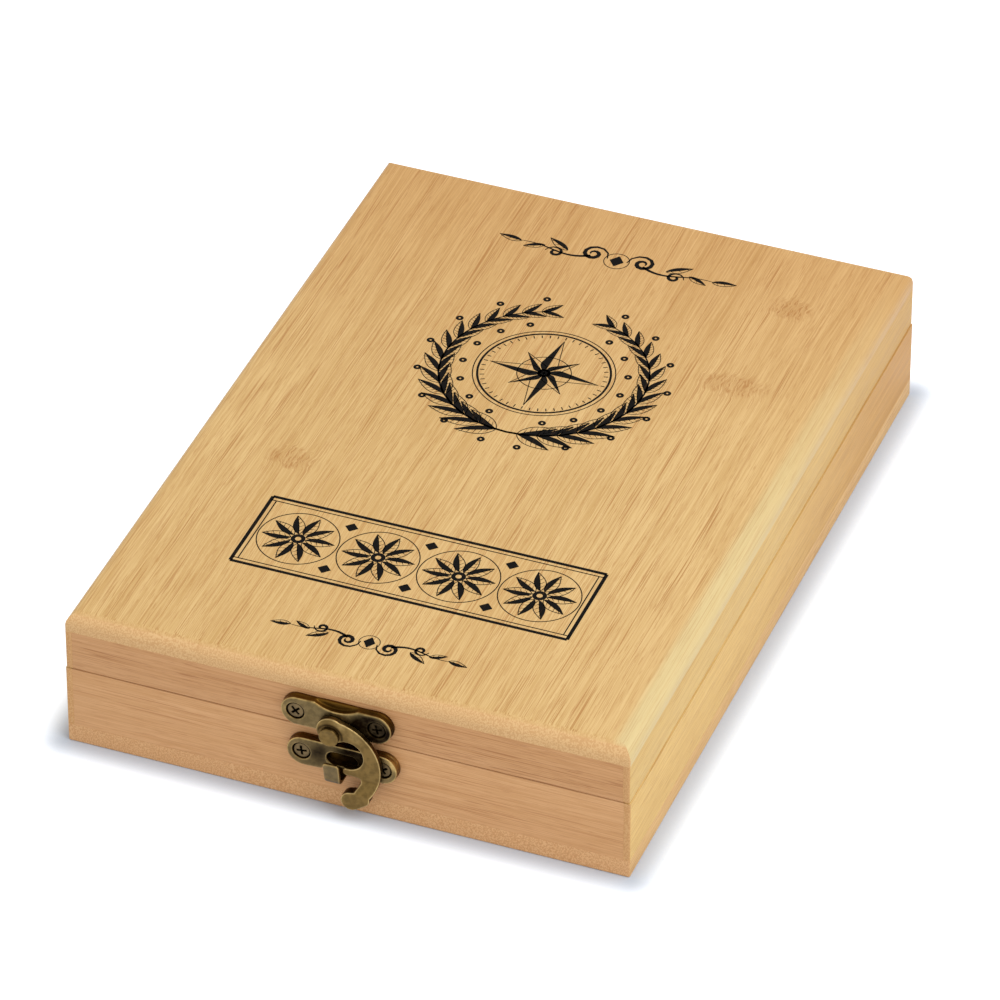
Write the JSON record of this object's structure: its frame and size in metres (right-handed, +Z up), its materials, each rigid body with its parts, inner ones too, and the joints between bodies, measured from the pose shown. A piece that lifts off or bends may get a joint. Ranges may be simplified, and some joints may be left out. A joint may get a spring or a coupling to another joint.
{
  "type": "hinged wooden box",
  "caption": "Flat hinged bamboo box whose lid swings up on rear butt hinges and is held shut by a horn-shaped brass hook that turns behind a tongue.",
  "frame": {"origin": "centre of the underside of the floor panel, where the box stands", "axes": "+Z up, +Y towards the hinges at the back, -Y towards the latch at the front, +X to the right of someone who faces the latch"},
  "size_m": [0.17, 0.2547, 0.0452],
  "materials": {
    "bamboo_board": "satin lacquered bamboo, grain across the front",
    "bamboo_panel": "satin lacquered bamboo panel with printed black ornament",
    "antique_brass": "antiqued, dark in the low places",
    "worn_brass": "antiqued, rubbed bright on the edges"
  },
  "bodies": {
    "base": {"base_floor": "bamboo_board", "base_front": "bamboo_board", "base_back": "bamboo_board", "base_left": "bamboo_board", "base_right": "bamboo_board", "keeper_plate": "antique_brass", "keeper_screws": "worn_brass", "hinge_left_base_leaf": "antique_brass", "hinge_right_base_leaf": "antique_brass", "hinge_left_pin": "worn_brass", "hinge_right_pin": "worn_brass", "hinge_base_screws": "worn_brass"},
    "lid": {"lid_top": "bamboo_panel", "lid_front": "bamboo_board", "lid_back": "bamboo_board", "lid_left": "bamboo_board", "lid_right": "bamboo_board", "latch_plate": "antique_brass", "latch_rivet": "worn_brass", "latch_screws": "worn_brass", "hinge_left_lid_leaf": "antique_brass", "hinge_right_lid_leaf": "antique_brass", "hinge_lid_screws": "worn_brass"},
    "hook": {"latch_hook": "worn_brass"}
  },
  "joints": [
    {"name": "lid_hinge", "type": "hinge", "parent": "base", "child": "lid", "pos_m": [0, 0.1239, 0.0263], "axis": [-1, 0, 0], "range_deg": [0, 180]},
    {"name": "hook_pivot", "type": "hinge", "parent": "lid", "child": "hook", "pos_m": [-0.0026, -0.1259, 0.0287], "axis": [0, -1, 0], "range_deg": [-16, 90]}
  ]
}
